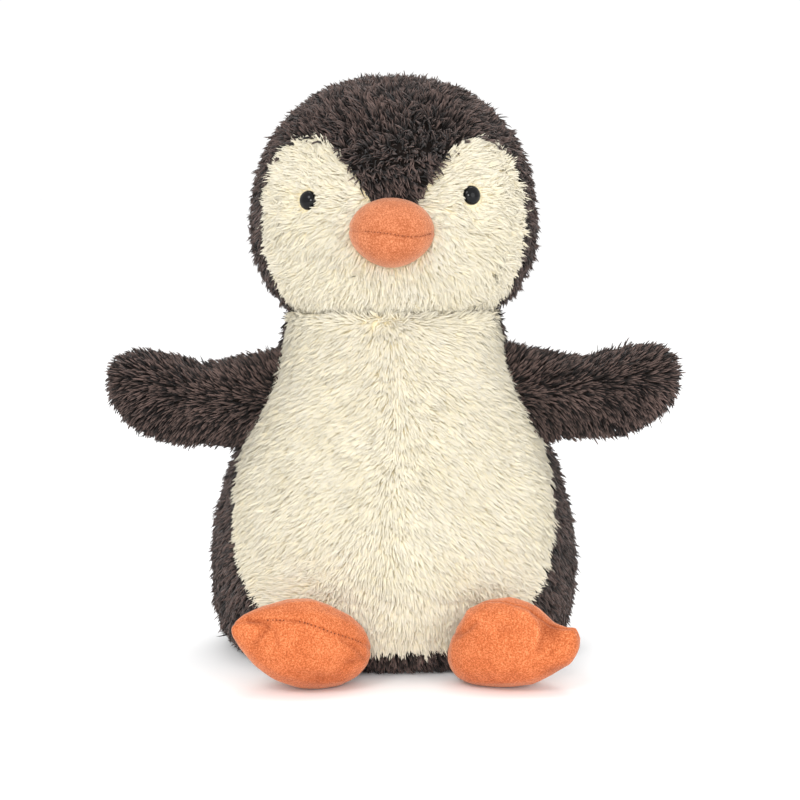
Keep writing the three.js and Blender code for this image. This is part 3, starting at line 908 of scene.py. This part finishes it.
def stitches(name, skin, centre, normal, wander, spacing, size, area, looks):
    """Small stitches along a seam that is wander(points) off its plane, where area(points) holds."""
    points, normals, _ = surface_arrays(skin)
    near = np.abs((points - centre) @ normal - wander(points)) < NEAR_SEAM
    ring, facing = points[near], normals[near]
    a = unit(np.cross(normal, [0.3, 0.9, 0.1]))
    b = np.cross(normal, a)
    angle = np.arctan2((ring - centre) @ b, (ring - centre) @ a)
    order = np.argsort(angle)
    ring, facing = ring[order], facing[order]
    ring = ring - ((ring - centre) @ normal - wander(ring))[:, None] * normal
    walked = np.concatenate([[0], np.cumsum(np.linalg.norm(np.diff(ring, axis=0), axis=1))])
    picked, due = [], 0.0
    for i, distance in enumerate(walked):
        if distance >= due:
            picked.append(i)
            due += spacing
    all_points, all_faces, start = [], [], 0
    ball, ball_faces = ball_arrays()
    for i in picked:
        place = ring[i]
        if not area(place[None])[0]:
            continue
        out = facing[i]
        along = unit(np.cross(normal, out))
        shape = ball * np.array(size)
        all_points.append(place + shape[:, :1] * normal + shape[:, 1:2] * along + shape[:, 2:] * out)
        all_faces.append(ball_faces + start)
        start += len(ball)
    thing = new_mesh_object(name, np.concatenate(all_points), np.concatenate(all_faces))
    thing.data.materials.append(looks["thread"])
    return thing


FULL_FOLD_SHADE = 0.8 * MM               # the depth at which a crease's painted shade is darkest and a ridge's painted highlight brightest


def moved_to(thing, points):
    """Moves an object's points, but none into the floor."""
    points[:, 2] = np.maximum(points[:, 2], FLOOR_CLEARANCE)
    thing.data.vertices.foreach_set("co", points.astype(np.float32).ravel())
    thing.data.update()


def pressed(thing, press):
    """Moves each point in along its normal by press(points), and marks how deep in a fold it is, which sets
    the painted shade of a fold and the painted highlight of a ridge.
    """
    points, normals, _ = surface_arrays(thing)
    depth = press(points)
    moved_to(thing, points - depth[:, None] * normals)
    fold_light_and_shade = thing.data.attributes.new("fold_light_and_shade", "FLOAT", "POINT")
    fold_light_and_shade.data.foreach_set("value", (0.5 + depth / (2 * FULL_FOLD_SHADE)).clip(0, 1).astype(np.float32))


def nearness(points, middle, size):
    """A soft share, 1 at middle and fading over size, both in x, y and z and in millimetres."""
    away = ((points - np.array(middle) * MM) / (np.array(size) * MM)) ** 2
    return np.exp(-away.sum(1))


def nudged(thing, nudges):
    """Softly moves the parts of a thing that are near each nudge's middle."""
    points, _, _ = surface_arrays(thing)
    total = np.zeros_like(points)
    for middle, size, move in nudges:
        total += nearness(points, middle, size)[:, None] * np.array(move) * MM
    moved_to(thing, points + total)


# The shape given to the feet, in millimetres. A nudge has its middle, its reach and its move in x, y, z.
FOOT_NUDGES = {
    "right": [((-60, -85, 26), (11, 30, 20), (0, 0, 2.4)), ((-20, -80, 35), (9, 20, 9), (-0.8, 0, -0.8))],
    "left": [
        ((27, -85, 34), (8, 20, 9), (-1.6, 0, 1.6)), ((43, -80, 40), (8, 20, 9), (0, 0, -1.8)),
        ((71, -85, 24), (8, 30, 12), (-2.2, 0, 1.2)),
    ],
}
FOOT_DENTS = {                     # middle, reach and depth, which also sets each dent's painted shade
    "right": [((-16, -84, 12), (3, 8, 1.6), 0.5), ((-28, -95, 5), (12, 8, 5), 0.5)],
    "left": [
        ((59, -88, 25), (3, 10, 5), 0.7), ((62, -92, 8), (5, 8, 3), 0.8), ((41, -95, 26), (3, 8, 2), 0.4),
    ],
}
FOOT_CREASES = {                   # corners in x and z, reach, and depth (a ridge's is negative), which also sets a crease's painted shade and a ridge's painted highlight
    "right": [
        ([(-54, 29), (-47, 27.5)], 0.9, 0.5), ([(-46, 27), (-49, 24), (-52, 20)], 1.0, 0.45),
        ([(-44, 26), (-43, 21)], 1.0, 0.3), ([(-19, 21), (-14, 17), (-11, 12)], 1.0, 0.4),
    ],
    "left": [
        ([(19, 19), (24, 20.5), (27.5, 23.5), (31, 27)], 0.8, 0.45),
        ([(28, 29), (32, 28), (36, 25)], 1.4, -0.5),
        ([(46, 31), (50, 30), (52.7, 27.5), (53.8, 24), (52, 19)], 0.9, -0.5),
        ([(52, 30.5), (55, 27.5), (56, 24), (54, 18)], 1.5, 0.45),
    ],
}
FOOT_STITCHED = {"right": [(-47, -40), (-35, -12)], "left": [(22, 27)]}     # in x
FOOT_FRONT = -70 * MM
BEAK_STITCHED = (-11, 14)          # in x
BEAK_FRONT = -50 * MM
FOOT_VOXEL, BEAK_VOXEL = 1.3 * MM, 1.2 * MM
FOOT_SEAM, BEAK_SEAM = (0.35 * MM, 0.8 * MM), (0.3 * MM, 0.7 * MM)      # depth and half width; the depth also sets the seam's painted shade
FOOT_STITCH, FOOT_SPACING = (0.3 * MM, 0.3 * MM, 0.3 * MM), 1.7 * MM
BEAK_STITCH, BEAK_SPACING = (0.2 * MM, 0.3 * MM, 0.2 * MM), 1.5 * MM


def groove(off, seam):
    """The depth of a sunk seam at a distance off it."""
    depth, half_width = seam
    return depth * np.exp(-(off / half_width) ** 2)


def crease(points, corners, reach, depth):
    """A groove in the front of a foot along a line through corners in x and z."""
    place = points[:, [0, 2]] / MM
    nearest = np.full(len(points), np.inf)
    for start, end in zip(corners, corners[1:]):
        start, end = np.array(start, float), np.array(end, float)
        step = end - start
        share = np.clip((place - start) @ step / (step @ step), 0, 1)[:, None]
        nearest = np.minimum(nearest, np.linalg.norm(place - start - share * step, axis=1))
    return depth * MM * np.exp(-(nearest / reach) ** 2) * (points[:, 1] < FOOT_FRONT)


def foot_wander(name):
    """How far the seam strays from its plane: the right foot's arches over the toe and falls to the heel."""
    def wander(points):
        if name == "left":
            return np.zeros(len(points))
        return (1.4 - 2.1 * np.tanh((points[:, 0] / MM + 29) / 7)) * MM
    return wander


def beak_wander(points):
    """The beak's seam runs high on its right, dips left of the middle and rises again."""
    x = points[:, 0] / MM
    return (1.1 * (1 - np.tanh((x - 1) / 6)) + 0.9 * np.clip((x - 6) / 8, 0, 2) ** 2) * MM


def make_foot(name, looks, made):
    """A foot's suede skin with its seam, dents and creases, and the stitches that show."""
    nodes = [f"foot_{part}_{name}" for part in ("upper_panel", "sole_panel", "filling")]
    body = f"foot_{name}"
    skin = merged(f"foot_skin_{name}", nodes, FOOT_VOXEL)
    smoothed(skin, 5)
    grown(skin, 0.3 * MM)
    inflate(skin, pressure=3.0, cap=0.8 * MM)
    subdivided(skin)
    nudged(skin, FOOT_NUDGES[name])
    centre, normal = seam_plane(nodes[1], nodes[0])
    wander = foot_wander(name)

    def press(points):
        total = groove((points - centre) @ normal - wander(points), FOOT_SEAM)
        for middle, size, depth in FOOT_DENTS[name]:
            total += depth * MM * nearness(points, middle, size)
        for corners, reach, depth in FOOT_CREASES[name]:
            total += crease(points, corners, reach, depth)
        return total

    def stitched(points):
        x = points[:, 0] / MM
        shown = np.any([(x > low) & (x < high) for low, high in FOOT_STITCHED[name]], axis=0)
        return shown & (points[:, 1] < FOOT_FRONT)

    pressed(skin, press)
    skin.data.materials.append(looks["foot_suede"])
    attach(skin, body)
    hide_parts(*nodes)
    thread = stitches(
        f"foot_stitches_{name}", skin, centre, normal, wander, FOOT_SPACING, FOOT_STITCH, stitched, looks)
    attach(thread, body)
    made += [skin, thread]


def make_beak(looks, made):
    """The beak's suede skin with its seam, and the stitches that show."""
    nodes = ["beak_upper_panel", "beak_lower_panel", "beak_filling"]
    skin = merged("beak_skin", nodes, BEAK_VOXEL)
    smoothed(skin, 10)
    inflate(skin, pressure=4.0, cap=1.0 * MM)
    subdivided(skin)
    centre, normal = seam_plane(nodes[1], nodes[0])

    def press(points):
        return groove((points - centre) @ normal - beak_wander(points), BEAK_SEAM)

    def stitched(points):
        x = points[:, 0] / MM
        return (points[:, 1] < BEAK_FRONT) & (x > BEAK_STITCHED[0]) & (x < BEAK_STITCHED[1])

    pressed(skin, press)
    skin.data.materials.append(looks["beak_suede"])
    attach(skin, "head")
    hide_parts(*nodes[:2])
    thread = stitches(
        "beak_stitches", skin, centre, normal, beak_wander, BEAK_SPACING, BEAK_STITCH, stitched, looks)
    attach(thread, "head")
    made += [skin, thread]


# ---- eyes ----

EYE_EDGE = 0.25 * MM               # the height of a dome's rounded edge
EYE_BASE = 0.94                    # a dome's base as a share of its radius
EYE_SLACK = 0.05 * MM              # corners this near in height are on one ring
EYE_STEPS = 40                     # faces around a dome


def make_eye(name, looks, made):
    """A domed safety eye, turned about the CAD eye's own axis."""
    points, _ = node_arrays(f"eye_{name}")
    middle = points.mean(0)
    axis = np.linalg.svd(points - middle)[2][0]
    if axis[1] > 0:
        axis = -axis
    along = (points - middle) @ axis
    off = points - middle - along[:, None] * axis
    middle = middle + off[np.isclose(along, along.max(), atol=EYE_SLACK)].mean(0)
    reach = np.linalg.norm((points - middle) - ((points - middle) @ axis)[:, None] * axis, axis=1)
    radius, top, bottom = reach.max(), along.max(), along.min()
    seat = along[reach > 0.98 * radius].min()
    edge = seat + EYE_EDGE
    stem = reach[np.isclose(along, bottom, atol=EYE_SLACK)].max()
    dome = [(math.cos(t), math.sin(t)) for t in np.linspace(0, math.pi / 2, 14)]
    profile = [(0.0, bottom), (stem, bottom), (stem, seat), (radius * EYE_BASE, seat), (radius, edge)]
    profile += [(radius * c, edge + (top - edge) * s) for c, s in dome[1:-1]] + [(0.0, top)]
    steps = EYE_STEPS
    a = unit(np.cross(axis, [0.0, 0.0, 1.0]))
    b = np.cross(axis, a)
    rings = [middle + bottom * axis]
    for r, h in profile[1:-1]:
        for i in range(steps):
            t = 2 * math.pi * i / steps
            rings.append(middle + h * axis + r * (math.cos(t) * a + math.sin(t) * b))
    rings.append(middle + top * axis)
    faces = []
    count = len(profile) - 2
    for i in range(steps):
        j = (i + 1) % steps
        faces.append((0, 1 + j, 1 + i))
        for k in range(count - 1):
            p, q = 1 + k * steps + i, 1 + k * steps + j
            faces += [(p, q, q + steps), (p, q + steps, p + steps)]
        last = 1 + (count - 1) * steps
        faces.append((last + i, last + j, len(rings) - 1))
    thing = new_mesh_object(f"eye_dome_{name}", np.array(rings), np.array(faces))
    thing.data.materials.append(looks["eye"])
    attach(thing, "head")
    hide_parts(f"eye_{name}")
    made.append(thing)


def dress_hidden_nodes(looks):
    """Fillings, washers and the pouch keep their CAD shapes and get their own materials."""
    for name, node in NODES.items():
        kind = "filling" if "filling" in name else "washer" if "washer" in name else "pouch"
        if kind != "pouch" or name == "pellet_pouch":
            node.data.materials.clear()
            node.data.materials.append(looks[kind])


# ---- everything ----

def main():
    make_camera()
    make_studio()
    looks = make_materials()
    made = []
    make_furred("body", BODY_PANELS, ["body_filling", "pellet_pouch"], "body", body_fur_area, looks, made)
    make_furred("head", HEAD_PANELS, ["head_filling"], "head", head_fur_area, looks, made)
    for name in SIDES:
        make_wing(name, looks, made)
        make_foot(name, looks, made)
        make_eye(name, looks, made)
    make_beak(looks, made)
    dress_hidden_nodes(looks)


main()
